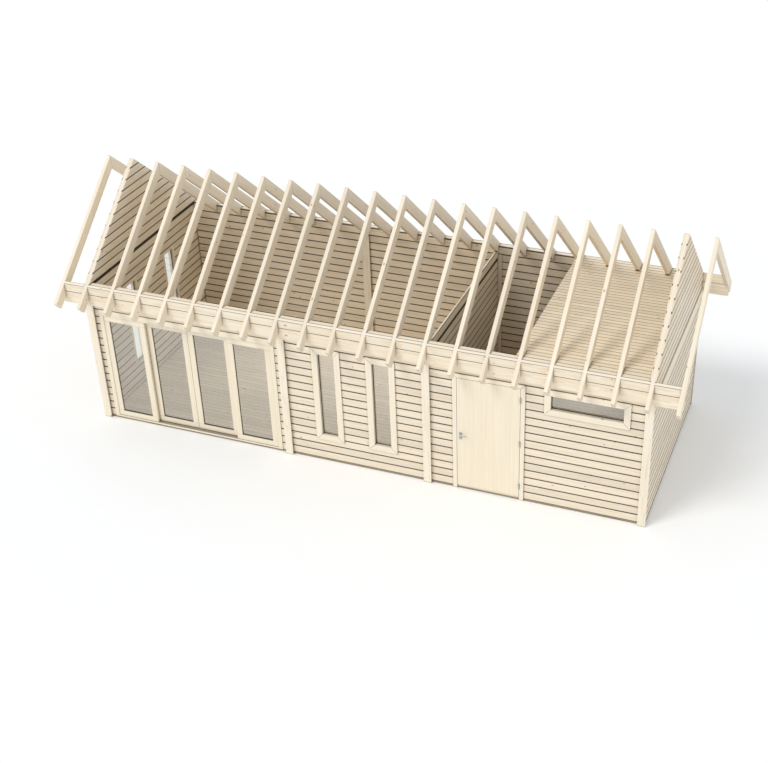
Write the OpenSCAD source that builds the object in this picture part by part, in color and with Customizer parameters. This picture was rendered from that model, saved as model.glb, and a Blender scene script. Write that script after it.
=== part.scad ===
// Long log cabin kit: interlocking log walls lapped at the corners, open rafter roof,
// four-panel sliding front, plain entrance door, five windows and a boarded loft.
// Millimetres. X runs along the ridge, the front looks towards -Y, +Z is up.
// The origin is the centre of the footprint, on the ground.

/* [Plan] */
// Depth over the outer faces of the long walls
cabin_d = 3600; // [2800:50:4600]
// Cross wall's centre to the sliding front, on both sides of it
slider_pier = 141; // [125:1:400]
// Cross wall's centre to a tall window's casing, left and right of the pair
tall_pier = 522.5; // [250:0.5:900]
// Partition's centre to the door casing
door_pier = 433; // [200:1:800]
// Door casing to the wide window's casing
window_pier = 299; // [100:1:800]
// Wide window's casing to the right end wall's centre
end_pier = 282; // [150:1:800]

/* [Log walls] */
// Thickness of every log wall
wall_t = 90; // [70:5:120]
// Height of one log course
log_h = 141; // [125:1:160]
// Full courses below the rafter seats
wall_courses = 17; // [16:1:19]
// Full courses below the door and window heads
head_courses = 15; // [14:1:15]
// Height of the top log, which the rafters are let into
top_log_h = 160; // [140:5:200]
// Depth of the V groove along each log joint
groove = 8; // [4:1:12]
// How far the cross walls' log ends stand past the long walls
log_end_out = 30; // [20:5:60]
// Height of the open settling joint that each cross wall has
open_joint_h = 42; // [20:2:50]
// Depth of the open joint on a face
open_joint_in = 10; // [6:1:14]
// Logs of the right end wall above its settling joint
right_logs_above = 3; // [2:1:4]
// Height of the belt board that covers a joint over the window heads
belt_h = 160; // [120:5:200]

/* [Partition] */
// Thickness of the partition's logs
part_t = 44; // [40:2:90]
// How far the partition's top is below the top of the long walls
part_drop = 80; // [60:5:120]

/* [Base and floor] */
// Height of the base frame under the walls
base_h = 35; // [30:5:80]
// Ledge of the base frame inside the walls
base_ledge = 30; // [20:5:60]
// Thickness of the floor deck
deck_t = 27; // [18:1:35]
// Width of a floor joist
floor_joist_w = 60; // [40:5:90]
// Largest spacing of the floor joists
floor_joist_spacing = 500; // [400:10:700]

/* [Roof] */
// Roof pitch in degrees
pitch = 40; // [30:1:45]
// Largest spacing of the rafters
rafter_spacing = 500; // [400:10:700]
// Width of a rafter
rafter_w = 60; // [45:5:70]
// Depth of a rafter, square to its slope
rafter_depth = 170; // [140:5:200]
// Length of the birdsmouth seat
seat_l = 106; // [80:1:140]
// Rafter tail's reach past the eave beam
tail_out = 293; // [200:1:500]
// Reach of the barge rafters past the end walls, centre to centre
verge_out = 450; // [300:10:700]
// Side clearance of a rafter in its slot
slot_gap = 1; // [0.5:0.5:3]

/* [Eave beams] */
// Thickness of the eave beams
beam_t = 50; // [40:5:80]
// Height of the lower eave beam
beam_h = 204; // [150:1:260]
// Eased edge along the joint between the lower and upper eave timbers
beam_ease = 5; // [3:1:8]

/* [Cover boards] */
// Width of the outer cover boards over the log ends
cover_w = 128; // [100:2:180]
// Thickness of every cover board and casing
board_t = 20; // [15:1:28]
// Width of the inner cover boards on the stub walls
inner_cover_w = 145; // [100:5:200]
// Reach of the stub walls into the room
stub_in = 25; // [15:5:200]
// Width of the battens in the partition's corners
batten_w = 70; // [30:2:80]

/* [Loft] */
// Rafter bays that the loft covers, from the right gable
loft_bays = 4; // [2:1:6]
// Gap between the loft's edge joist and the rafter beside it
loft_edge_gap = 10; // [5:1:30]
// Thickness of the loft boards
loft_t = 20; // [15:1:28]
// Width of a loft joist
loft_joist_w = 45; // [38:1:60]
// How far a loft joist is let into the top log
loft_joist_in = 45; // [30:5:60]

/* [Sliding front] */
// Width over the frame of the sliding front
slider_w = 3248; // [2400:8:4000]
// Width of the frame's jambs
jamb_w = 74; // [50:2:90]
// Height of the frame's head
slider_head_h = 105; // [80:5:140]
// Height of the frame's sill
sill_h = 30; // [20:5:45]
// Depth of the frame, front to back
slider_depth = 122; // [118:2:140]
// How far the frame stands out of the wall
slider_proud = 10; // [0:1:30]
// Fixed panels' setback in the frame
panel_setback = 8; // [4:1:12]
// Gap between the fixed and the sliding panels
track_gap = 15; // [10:1:18]
// Width of the panels' stiles and rails
stile_w = 100; // [70:2:120]
// Thickness of a panel
panel_t = 45; // [38:1:50]
// Overlap of a sliding panel with the fixed one in front of it
panel_lap = 4; // [0:2:40]
// Width of a running rail
rail_w = 10; // [6:1:14]
// Height of a running rail inside a panel's groove
rail_h = 18; // [12:1:24]

/* [Windows] */
// Width over the casing of a tall window
tall_w = 490; // [420:10:620]
// Height over the casing of a tall window
tall_h = 1735; // [1000:5:1735]
// Spacing of the two tall windows in the front
tall_spacing = 935; // [700:5:1100]
// Spacing of the two tall windows in the left end
end_window_spacing = 1300; // [900:10:1600]
// Width over the casing of the wide window
wide_w = 1318; // [900:2:1500]
// Height over the casing of the wide window
wide_h = 445; // [400:5:900]
// Width of the window casings
casing_w = 100; // [80:2:120]
// How far the casing covers the wall round an opening
casing_lap = 48; // [30:2:60]
// Thickness of every pane
glass_t = 8; // [4:1:12]
// Depth of the rebate that holds a pane
glass_in = 10; // [6:1:14]
// Gap at the mitres of a casing
mitre_gap = 1.5; // [1:0.5:3]

/* [Door] */
// Clear width of the doorway
door_w = 1034; // [800:2:1100]
// Width of the door casing
door_casing_w = 67; // [55:1:90]
// Thickness of the door frame's sides
door_jamb_t = 35; // [25:1:45]
// Height of the threshold
threshold_h = 30; // [20:5:40]
// Thickness of the leaf
leaf_t = 45; // [38:1:60]
// Gap round the leaf
leaf_gap = 6; // [5:0.5:8]
// How far the stops stand into the doorway
stop_w = 15; // [10:1:25]
// Number of hinges
hinge_n = 3; // [2:1:4]
// Height of one hinge
hinge_h = 100; // [80:5:120]
// Leaf's top and bottom edge to the nearest hinge
hinge_end = 150; // [100:10:300]
// Thickness of a hinge plate
plate_t = 2; // [1.5:0.5:2.5]
// Radius of a hinge barrel
barrel_r = 8; // [6:0.5:8]
// Gap between a hinge barrel and the leaf's face
barrel_out = 1; // [0.5:0.5:3]
// Radius of a hinge pin
pin_r = 3.5; // [2.5:0.5:4]
// Radial clearance of a hinge pin
pin_gap = 0.05; // [0.02:0.01:0.1]
// Height of the door handle over the ground
handle_z = 1060; // [950:10:1150]
// Leaf's edge to the handle's spindle
backset = 60; // [45:5:80]
// Length of the lever
lever_l = 130; // [100:5:150]
// Width of the lever
lever_w = 18; // [14:1:24]
// Thickness of the lever
lever_t = 14; // [10:1:18]
// Reach of the lever from the leaf's face
lever_out = 52; // [45:1:60]
// Radius of a rose
rose_r = 26; // [22:1:30]
// Thickness of a rose
rose_t = 8; // [6:1:10]
// Spindle to the lock's cylinder, centre to centre
lock_drop = 75; // [65:1:95]

/* [Hidden] */
$fn = 32;

// colours
pine = "burlywood";
pine_light = "wheat";
oak = "peru";
steel = "silver";
pane = [0.72, 0.84, 0.88, 0.4];

eps = 0.01;      // margin for comparing levels
over = 20;       // how far a cut runs past a face
fit = 0.3;       // seat clearance of a piece that is held in a groove
move_gap = 6;    // clearance round sliding panels

// plan
door_casing_out = door_w + 2 * door_casing_w;
bay_1 = slider_w + 2 * slider_pier;
bay_2 = tall_w + tall_spacing + 2 * tall_pier;
bay_3 = door_pier + door_casing_out + window_pier + wide_w + end_pier;
centre_l = bay_1 + bay_2 + bay_3;
x_left = -centre_l / 2;
x_stub = x_left + bay_1;
x_part = x_stub + bay_2;
x_right = centre_l / 2;
end_out = x_right + wall_t / 2;
y_out = cabin_d / 2;
y_in = y_out - wall_t;
y_wall = y_out - wall_t / 2;
y_log_end = y_out + log_end_out;
y_beam = y_out + beam_t;
end_walls = [x_left, x_right];
cross_walls = [x_left, x_part, x_right];
half_part = part_t / 2;

// levels
seat_z = base_h + wall_courses * log_h;
wall_z = seat_z + top_log_h;
head_z = base_h + head_courses * log_h;
beam_z = seat_z - beam_h;
floor_z = base_h + deck_t;
part_top = wall_z - part_drop;

// roof
rise = tan(pitch);
plumb_depth = rafter_depth / cos(pitch);
seat_y = y_beam - seat_l;
ridge_z = seat_z + seat_y * rise + plumb_depth;
tail_y = y_beam + tail_out;
rafter_bays = ceil(centre_l / rafter_spacing - eps);
rafter_step = centre_l / rafter_bays;
common_x = [for (i = [1 : rafter_bays - 1]) x_left + i * rafter_step];
barge_x = [x_left - verge_out, x_right + verge_out];
all_x = concat(common_x, end_walls, barge_x);

// log joint levels of the long walls and of the gables
long_joints = concat([for (n = [0 : wall_courses]) base_h + n * log_h], [wall_z]);
gable_joints = [for (n = [0 : ceil((ridge_z - wall_z) / log_h)]) wall_z + n * log_h];

// log joint levels of a cross wall: whole logs down from its top, the open joint, and whole
// logs on down to a taller or shorter one on the base
function open_joint_z(top, logs_above) = top - logs_above * log_h;
function cross_joints(top, logs_above) = concat([base_h],
    [for (n = [wall_courses : -1 : 0])
        let (z = open_joint_z(top, logs_above) - open_joint_h - n * log_h)
        if (z > base_h + log_h / 2) z],
    [for (n = [logs_above : -1 : 0]) top - n * log_h]);

// openings of the front wall
slider_x = x_left + bay_1 / 2;
slider_x0 = slider_x - slider_w / 2;
slider_x1 = slider_x + slider_w / 2;
door_cx = x_part + door_pier + door_casing_out / 2;
door_x0 = door_cx - door_w / 2;
door_x1 = door_cx + door_w / 2;
wide_cx = x_right - end_pier - wide_w / 2;
tall_mid = x_stub + bay_2 / 2;
tall_front_x = [tall_mid - tall_spacing / 2, tall_mid + tall_spacing / 2];
tall_end_y = [-end_window_spacing / 2, end_window_spacing / 2];
tall_z = head_z - tall_h / 2;
wide_z = head_z - wide_h / 2;
door_head_z = head_z - door_casing_w;
belt_z = head_z + 2 * mitre_gap;

// ---------- helpers ----------

// one face of a log wall, from z0 up to z1: flat with a V at each joint
function log_face(z0, z1, joints) = [
    for (z = concat([z0], [for (j = joints) if (j > z0 + eps && j < z1 - eps) j], [z1]))
        each is_joint(z, joints)
            ? (z < z0 + eps ? [[-groove, z], [0, z + groove]]
                : z > z1 - eps ? [[0, z - groove], [-groove, z]]
                : [[0, z - groove], [-groove, z], [0, z + groove]])
            : [[0, z]]
];
function is_joint(z, joints) = len([for (j = joints) if (abs(j - z) < eps) j]) > 0;
function reversed(list) = [for (i = [len(list) - 1 : -1 : 0]) list[i]];

// section of a log wall in thickness and height
module log_section(z0, z1, joints, t = wall_t) {
    face = log_face(z0, z1, joints);
    polygon(concat(
        [for (p = face) [t / 2 + p[0], p[1]]],
        [for (p = reversed(face)) [-t / 2 - p[0], p[1]]]));
}

// log wall along X, from x0 to x1, centred on y
module log_wall_x(x0, x1, y, z0, z1) {
    translate([x0, y, 0]) rotate([90, 0, 90]) linear_extrude(x1 - x0)
        log_section(z0, z1, long_joints);
}

// log wall along Y, from y0 to y1, centred on x
module log_wall_y(y0, y1, x, z0, z1, joints, t = wall_t) {
    translate([x, y1, 0]) rotate([90, 0, 0]) linear_extrude(y1 - y0)
        log_section(z0, z1, joints, t);
}

module box(x0, x1, y0, y1, z0, z1) {
    translate([x0, y0, z0]) cube([x1 - x0, y1 - y0, z1 - z0]);
}

// a copy at the front and one at the back
module both_sides() {
    children();
    mirror([0, 1, 0]) children();
}

// half of each course inside a corner: part 0 is the lower half, part 1 the upper
module lap_halves(x, courses, part, t = wall_t) {
    for (n = courses)
        box(x - t / 2, x + t / 2, -y_out, -y_in,
            base_h + (n + part / 2) * log_h, base_h + (n + part / 2 + 0.5) * log_h);
}

// rafter outline in Y and Z: plumb cut, birdsmouth and square tail
module rafter_section() {
    under_ridge = ridge_z - plumb_depth;
    tail_z = ridge_z - tail_y * rise;
    polygon([
        [0, ridge_z],
        [-tail_y, tail_z],
        [-tail_y + rafter_depth * sin(pitch), tail_z - rafter_depth * cos(pitch)],
        [-y_beam, under_ridge - y_beam * rise],
        [-y_beam, seat_z],
        [-seat_y, seat_z],
        [0, under_ridge]
    ]);
}

// front rafter centred on x; gap widens it for cutting its slot
module rafter(x, gap = 0) {
    w = rafter_w + 2 * gap;
    translate([x - w / 2, 0, 0]) rotate([90, 0, 90]) linear_extrude(w) rafter_section();
}

module rafter_slots(positions) {
    for (x = positions) rafter(x, slot_gap);
}

// flat ring in a wall plane, local X across, Y up, Z out of the wall
module ring(w, h, border, t) {
    linear_extrude(t) difference() {
        square([w, h], center = true);
        square([w - 2 * border, h - 2 * border], center = true);
    }
}

// four mitred casing boards round an opening
module casing(w, h) {
    for (side = [0, 1], turn = [0, 1]) {
        long = turn == 0 ? w / 2 : h / 2;
        out = turn == 0 ? h / 2 : w / 2;
        rotate(90 * turn + 180 * side) linear_extrude(board_t)
            polygon([
                [-long + mitre_gap, out], [long - mitre_gap, out],
                [long - casing_w - mitre_gap, out - casing_w],
                [-long + casing_w + mitre_gap, out - casing_w]]);
    }
}

// window frame for a casing of size w by h, with a groove for its pane
module window_frame(w, h) {
    open_w = w - 2 * casing_lap;
    open_h = h - 2 * casing_lap;
    difference() {
        translate([0, 0, -wall_t]) ring(open_w, open_h, casing_w - casing_lap, wall_t);
        translate([0, 0, -wall_t / 2 - glass_t / 2 - fit]) linear_extrude(glass_t + 2 * fit)
            square([w - 2 * casing_w + 2 * (glass_in + fit),
                    h - 2 * casing_w + 2 * (glass_in + fit)], center = true);
    }
}

module window_pane(w, h) {
    translate([0, 0, -wall_t / 2 - glass_t / 2]) linear_extrude(glass_t)
        square([w - 2 * casing_w + 2 * glass_in, h - 2 * casing_w + 2 * glass_in], center = true);
}

// window opening through the wall
module window_cut(w, h) {
    translate([0, 0, -wall_t - over]) linear_extrude(wall_t + 2 * over)
        square([w - 2 * casing_lap, h - 2 * casing_lap], center = true);
}

// puts children in the plane of the front wall's or the left end wall's outer face
module on_front(x, z) {
    translate([x, -y_out, z]) rotate([90, 0, 0]) children();
}
module on_left_end(y, z) {
    translate([-end_out, y, z]) rotate([90, 0, -90]) children();
}
module tall_fronts() {
    for (x = tall_front_x) on_front(x, tall_z) children();
}
module tall_ends() {
    for (y = tall_end_y) on_left_end(y, tall_z) children();
}

// ---------- base and floor ----------

module base_frame() {
    inner = y_in - base_ledge;
    half_w = wall_t / 2 + base_ledge;
    color(oak) difference() {
        box(-end_out, end_out, -y_out, y_out, 0, base_h);
        box(x_left + half_w, x_part - half_w, -inner, inner, -over, base_h + over);
        box(x_part + half_w, x_right - half_w, -inner, inner, -over, base_h + over);
    }
}

module floor_joists() {
    inner = y_in - base_ledge;
    half_w = wall_t / 2 + base_ledge;
    color(oak) for (room = [[x_left + half_w, x_part - half_w], [x_part + half_w, x_right - half_w]]) {
        length = room[1] - room[0];
        n = ceil(length / floor_joist_spacing);
        for (i = [1 : n - 1])
            translate([room[0] + i * length / n - floor_joist_w / 2, -inner, 0])
                cube([floor_joist_w, 2 * inner, base_h]);
    }
}

// deck of both rooms, cut round the stub walls and the sliding front's frame
module floor_deck() {
    half_w = wall_t / 2;
    color(pine) {
        difference() {
            box(x_left + half_w, x_part - half_part, -y_in, y_in, base_h, floor_z);
            both_sides() box(x_stub - inner_cover_w / 2, x_stub + inner_cover_w / 2,
                -y_in - over, -y_in + stub_in + board_t, base_h - over, floor_z + over);
            box(slider_x0, slider_x1, -y_in - over, slider_back, base_h - over, floor_z + over);
            both_sides() box(x_part - half_part - batten_w, x_part, -y_in - over,
                -y_in + board_t, base_h - over, floor_z + over);
        }
        difference() {
            box(x_part + half_part, x_right - half_w, -y_in, y_in, base_h, floor_z);
            both_sides() box(x_part, x_part + half_part + batten_w, -y_in - over, -y_in + board_t,
                base_h - over, floor_z + over);
        }
    }
}

// ---------- long walls ----------

lower_laps = [0 : head_courses - 1];
upper_laps = [head_courses : wall_courses - 1];

module front_wall_left() {
    color(pine) difference() {
        log_wall_x(-end_out, slider_x0, -y_wall, base_h, head_z);
        lap_halves(x_left, lower_laps, 0);
    }
}

module front_wall_middle() {
    color(pine) difference() {
        log_wall_x(slider_x1, door_x0 - door_jamb_t, -y_wall, base_h, head_z);
        lap_halves(x_stub, lower_laps, 0);
        lap_halves(x_part, lower_laps, 1, part_t);
        tall_fronts() window_cut(tall_w, tall_h);
    }
}

module front_wall_right() {
    color(pine) difference() {
        log_wall_x(door_x1 + door_jamb_t, end_out, -y_wall, base_h, head_z);
        lap_halves(x_right, lower_laps, 0);
        on_front(wide_cx, wide_z) window_cut(wide_w, wide_h);
    }
}

// cuts in the courses over the heads: laps, crossing top logs, rafter slots, loft joists
module upper_cuts() {
    lap_halves(x_stub, upper_laps, 0);
    lap_halves(x_part, upper_laps, 1, part_t);
    for (x = end_walls) {
        lap_halves(x, upper_laps, 0);
        box(x - wall_t / 2, x + wall_t / 2, -y_out - over, -y_in + over, seat_z, wall_z + over);
    }
    rafter_slots(common_x);
    loft_joist_bars(fit);
}

module front_wall_head() {
    color(pine) difference() {
        log_wall_x(-end_out, end_out, -y_wall, head_z, wall_z);
        upper_cuts();
    }
}

module back_wall() {
    color(pine) mirror([0, 1, 0]) difference() {
        log_wall_x(-end_out, end_out, -y_wall, base_h, wall_z);
        upper_cuts();
        lap_halves(x_stub, lower_laps, 0);
        lap_halves(x_part, lower_laps, 1, part_t);
        for (x = end_walls) lap_halves(x, lower_laps, 0);
    }
}

// ---------- cross walls ----------

// end wall: log ends stand out below the eave beams, flush above
module end_wall(x, logs_above) {
    difference() {
        log_wall_y(-y_log_end, y_log_end, x, base_h, wall_z, cross_joints(wall_z, logs_above));
        both_sides() {
            lap_halves(x, [0 : wall_courses - 1], 1);
            box(x - wall_t, x + wall_t, -y_log_end - over, -y_out, beam_z, wall_z + over);
            rafter_slots(near_rafters(x, wall_t));
        }
    }
}

// rafters whose slots reach into a cross wall of thickness t at x
function near_rafters(x, t) = [for (r = concat(common_x, end_walls))
    if (abs(r - x) < t / 2 + rafter_w / 2 + slot_gap) r];

// settling joint under level z, set back from the wall face at x between the long walls
module open_joint(x, z) {
    box(x - open_joint_in, x + open_joint_in, -y_in, y_in, z - open_joint_h, z);
}

module left_end_wall() {
    color(pine) difference() {
        end_wall(x_left, 0);
        tall_ends() window_cut(tall_w, tall_h);
        open_joint(x_left + wall_t / 2, wall_z);
    }
}

module right_end_wall() {
    color(pine) end_wall(x_right, right_logs_above);
}

// thinner than the end walls, lapped into the long walls up to the rafter seats
module partition_wall() {
    color(pine) difference() {
        log_wall_y(-y_log_end, y_log_end, x_part, base_h, part_top, cross_joints(part_top, 1), part_t);
        both_sides() {
            lap_halves(x_part, [0 : wall_courses - 1], 0, part_t);
            box(x_part - part_t, x_part + part_t, -y_log_end - over, -y_out, beam_z, part_top + over);
            box(x_part - part_t, x_part + part_t, -y_log_end - over, -y_in, seat_z, part_top + over);
            rafter_slots(near_rafters(x_part, part_t));
        }
        for (x = [x_part - half_part, x_part + half_part])
            open_joint(x, open_joint_z(part_top, 1));
    }
}

module cross_wall_stubs() {
    color(pine) both_sides() difference() {
        log_wall_y(-y_log_end, -y_in + stub_in, x_stub, base_h, seat_z, long_joints);
        lap_halves(x_stub, [0 : wall_courses - 1], 1);
        box(x_stub - wall_t, x_stub + wall_t, -y_log_end - over, -y_out, beam_z, wall_z);
    }
}

// gable logs, cut along the roof and slotted for the gable rafters
module gable(x) {
    half = (ridge_z - wall_z) / rise;
    color(pine) difference() {
        intersection() {
            log_wall_y(-half, half, x, wall_z, ridge_z, gable_joints);
            translate([x - wall_t, 0, 0]) rotate([90, 0, 90]) linear_extrude(2 * wall_t)
                polygon([[-half, wall_z], [half, wall_z], [0, ridge_z]]);
        }
        both_sides() rafter_slots([x]);
    }
}

module left_gable() {
    gable(x_left);
}

module right_gable() {
    gable(x_right);
}

// ---------- cover boards ----------

module outer_cover_boards() {
    color(pine_light) both_sides() for (x = concat(cross_walls, [x_stub]))
        box(x - cover_w / 2, x + cover_w / 2, -y_log_end - board_t, -y_log_end, 0, beam_z);
}

module inner_cover_boards() {
    stub_face = y_in - stub_in;
    color(pine_light) both_sides() {
        box(x_stub - inner_cover_w / 2, x_stub + inner_cover_w / 2,
            -stub_face, -stub_face + board_t, base_h, seat_z);
        for (side = [-1, 1]) {
            edge = x_part + side * (half_part + batten_w / 2);
            box(edge - batten_w / 2, edge + batten_w / 2, -y_in, -y_in + board_t, base_h, seat_z);
        }
    }
}

// flat boards across the outer faces of the end walls, over the window heads
module belt_boards() {
    reach = y_out - mitre_gap;
    color(pine_light) for (x = [-end_out - board_t, end_out])
        box(x, x + board_t, -reach, reach, belt_z, belt_z + belt_h);
}

// ---------- roof ----------

module eave_beams() {
    reach = x_right + verge_out + rafter_w / 2;
    color(pine_light) both_sides()
        translate([-reach, 0, 0]) rotate([90, 0, 90]) linear_extrude(2 * reach) polygon([
            [-y_out, beam_z], [-y_out, seat_z], [-y_beam + beam_ease, seat_z],
            [-y_beam, seat_z - beam_ease], [-y_beam, beam_z]]);
}

// upper eave timbers between the rafters, bevelled to the roof plane
module eave_blocks() {
    reach = x_right + verge_out;
    top_y = (ridge_z - wall_z) / rise;
    color(pine_light) both_sides() difference() {
        translate([-reach, 0, 0]) rotate([90, 0, 90]) linear_extrude(2 * reach)
            polygon(concat(
                [[-y_beam, seat_z + beam_ease], [-y_beam + beam_ease, seat_z], [-y_out, seat_z]],
                top_y < y_beam && top_y > y_out
                    ? [[-y_out, wall_z], [-top_y, wall_z], [-y_beam, ridge_z - y_beam * rise]]
                    : [[-y_out, min(wall_z, ridge_z - y_out * rise)],
                       [-y_beam, min(wall_z, ridge_z - y_beam * rise)]]));
        rafter_slots(all_x);
    }
}

module front_rafters() {
    color(pine_light) for (x = common_x) rafter(x);
}

module back_rafters() {
    color(pine_light) mirror([0, 1, 0]) for (x = common_x) rafter(x);
}

module end_rafters() {
    color(pine_light) for (x = concat(end_walls, barge_x)) {
        rafter(x);
        translate([0, fit, 0]) mirror([0, 1, 0]) rafter(x);
    }
}

// ---------- loft ----------

loft_x1 = x_right - wall_t / 2;
loft_x0 = x_right - loft_bays * rafter_step - rafter_w / 2 - loft_edge_gap - loft_joist_w;
loft_under = wall_z - loft_t;

// joists lie midway between the rafters, the first under the deck's edge
loft_joist_x = concat([loft_x0 + loft_joist_w / 2],
    [for (i = [0 : loft_bays - 1]) x_right - (i + 0.5) * rafter_step]);

module loft_joist_bars(gap = 0) {
    for (x = loft_joist_x)
        box(x - loft_joist_w / 2 - gap, x + loft_joist_w / 2 + gap,
            -y_in - loft_joist_in - gap, y_in + loft_joist_in + gap, seat_z, loft_under + gap);
}

module loft_joists() {
    color(pine) loft_joist_bars();
}

module loft_deck() {
    color(pine_light) difference() {
        box(loft_x0, loft_x1, -y_in, y_in, loft_under, wall_z);
        both_sides() for (x = common_x) rafter(x, 3 * slot_gap);
    }
}

// ---------- sliding front ----------

slider_front = -y_out - slider_proud;
slider_back = slider_front + slider_depth;
slider_bottom = base_h + sill_h;
slider_top = head_z - slider_head_h;
fixed_y = slider_front + panel_setback;
slide_y = fixed_y + panel_t + track_gap;
inner_x0 = slider_x0 + jamb_w;
inner_x1 = slider_x1 - jamb_w;
panel_w = (inner_x1 - inner_x0 + 2 * panel_lap) / 4;
panel_z0 = slider_bottom + move_gap;
panel_z1 = slider_top - move_gap;
slide_w = panel_w - move_gap / 2;
rail_y = slide_y + panel_t / 2;

module slider_frame() {
    color(pine_light) difference() {
        box(slider_x0, slider_x1, slider_front, slider_back, base_h, head_z);
        box(inner_x0, inner_x1, slider_front - over, slider_back + over, slider_bottom, slider_top);
    }
}

// running rail on the sill and guide rail under the head
module slider_rails() {
    color(steel) for (z = [slider_bottom, slider_top - rail_h])
        box(inner_x0, inner_x1, rail_y - rail_w / 2, rail_y + rail_w / 2, z, z + rail_h);
}

// glazed panel from x0, w wide, with its outer face at y
module panel_frame(x0, w, y, z0, z1) {
    mid = y + panel_t / 2;
    difference() {
        box(x0, x0 + w, y, y + panel_t, z0, z1);
        box(x0 + stile_w, x0 + w - stile_w, y - over, y + panel_t + over, z0 + stile_w, z1 - stile_w);
        box(x0 + stile_w - glass_in - fit, x0 + w - stile_w + glass_in + fit,
            mid - glass_t / 2 - fit, mid + glass_t / 2 + fit,
            z0 + stile_w - glass_in - fit, z1 - stile_w + glass_in + fit);
    }
}

module panel_pane(x0, w, y, z0, z1) {
    mid = y + panel_t / 2;
    box(x0 + stile_w - glass_in, x0 + w - stile_w + glass_in, mid - glass_t / 2, mid + glass_t / 2,
        z0 + stile_w - glass_in, z1 - stile_w + glass_in);
}

module fixed_panels() {
    color(pine) for (x = [inner_x0, inner_x1 - panel_w])
        panel_frame(x, panel_w, fixed_y, slider_bottom, slider_top);
}

module fixed_panel_glass() {
    color(pane) for (x = [inner_x0, inner_x1 - panel_w])
        panel_pane(x, panel_w, fixed_y, slider_bottom, slider_top);
}

// sliding panel with grooves over the running rail and under the guide rail
module sliding_panel(x0) {
    groove_w = rail_w + 2 * move_gap;
    difference() {
        panel_frame(x0, slide_w, slide_y, panel_z0, panel_z1);
        box(x0 - over, x0 + slide_w + over, rail_y - groove_w / 2, rail_y + groove_w / 2,
            panel_z0 - over, slider_bottom + rail_h + fit);
        box(x0 - over, x0 + slide_w + over, rail_y - groove_w / 2, rail_y + groove_w / 2,
            slider_top - rail_h - move_gap, panel_z1 + over);
    }
}

left_slide_x = slider_x - move_gap / 2 - slide_w;
right_slide_x = slider_x + move_gap / 2;

module left_sliding_panel() {
    color(pine) sliding_panel(left_slide_x);
}

module left_sliding_glass() {
    color(pane) panel_pane(left_slide_x, slide_w, slide_y, panel_z0, panel_z1);
}

module right_sliding_panel() {
    color(pine) sliding_panel(right_slide_x);
}

module right_sliding_glass() {
    color(pane) panel_pane(right_slide_x, slide_w, slide_y, panel_z0, panel_z1);
}

// ---------- windows ----------

module window_frames() {
    color(pine_light) {
        tall_fronts() window_frame(tall_w, tall_h);
        tall_ends() window_frame(tall_w, tall_h);
        on_front(wide_cx, wide_z) window_frame(wide_w, wide_h);
    }
}

module window_casings() {
    color(pine_light) {
        tall_fronts() casing(tall_w, tall_h);
        tall_ends() casing(tall_w, tall_h);
        on_front(wide_cx, wide_z) casing(wide_w, wide_h);
    }
}

module window_glass() {
    color(pane) {
        tall_fronts() window_pane(tall_w, tall_h);
        tall_ends() window_pane(tall_w, tall_h);
        on_front(wide_cx, wide_z) window_pane(wide_w, wide_h);
    }
}

// ---------- door ----------

leaf_y = -y_out - board_t;              // outer face of the closed leaf
leaf_z0 = base_h + threshold_h + leaf_gap;
leaf_z1 = door_head_z - leaf_gap;
stop_y = leaf_y + leaf_t + leaf_gap;    // outer face of the stops
pivot_x = door_x1 - leaf_gap / 2;
pivot_y = leaf_y - barrel_r - barrel_out;

// lining of the doorway with its stops and threshold
module door_frame() {
    color(pine_light) difference() {
        box(door_x0 - door_jamb_t, door_x1 + door_jamb_t, -y_out, -y_in, base_h, head_z);
        box(door_x0, door_x1, -y_out - over, stop_y, base_h + threshold_h, door_head_z);
        box(door_x0 + stop_w, door_x1 - stop_w, -y_out - over, -y_in + over,
            base_h + threshold_h, door_head_z - stop_w);
    }
}

// three mitred boards round the doorway
module door_casing() {
    x0 = door_x0 - door_casing_w;
    x1 = door_x1 + door_casing_w;
    color(pine_light) translate([0, -y_out, 0]) rotate([90, 0, 0]) linear_extrude(board_t) {
        polygon([[x0 + mitre_gap, head_z], [x1 - mitre_gap, head_z],
            [door_x1 - mitre_gap, door_head_z], [door_x0 + mitre_gap, door_head_z]]);
        polygon([[x0, 0], [door_x0, 0], [door_x0, door_head_z - mitre_gap], [x0, head_z - mitre_gap]]);
        polygon([[x1, 0], [door_x1, 0], [door_x1, door_head_z - mitre_gap], [x1, head_z - mitre_gap]]);
    }
}

function hinge_z(i) = leaf_z0 + hinge_end
    + i * (leaf_z1 - leaf_z0 - 2 * hinge_end - hinge_h) / (hinge_n - 1);

// lower knuckle, pin and jamb plate of each hinge
module frame_hinges() {
    color(steel) for (i = [0 : hinge_n - 1]) translate([pivot_x, pivot_y, hinge_z(i)]) {
        cylinder(r = barrel_r, h = hinge_h / 2 - fit);
        cylinder(r = pin_r, h = hinge_h);
        translate([leaf_gap / 2 - plate_t, 0, 0])
            cube([plate_t, leaf_t + barrel_r + barrel_out, hinge_h / 2 - fit]);
    }
}

// upper knuckle and leaf plate of each hinge
module leaf_hinges() {
    color(steel) for (i = [0 : hinge_n - 1]) translate([pivot_x, pivot_y, hinge_z(i) + hinge_h / 2])
        difference() {
            union() {
                cylinder(r = barrel_r, h = hinge_h / 2);
                translate([-leaf_gap / 2, 0, 0])
                    cube([plate_t, leaf_t + barrel_r + barrel_out, hinge_h / 2]);
            }
            translate([0, 0, -over]) cylinder(r = pin_r + pin_gap, h = hinge_h + 2 * over);
        }
}

module door_leaf() {
    color(pine) box(door_x0 + leaf_gap, door_x1 - leaf_gap, leaf_y, leaf_y + leaf_t, leaf_z0, leaf_z1);
}

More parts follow.
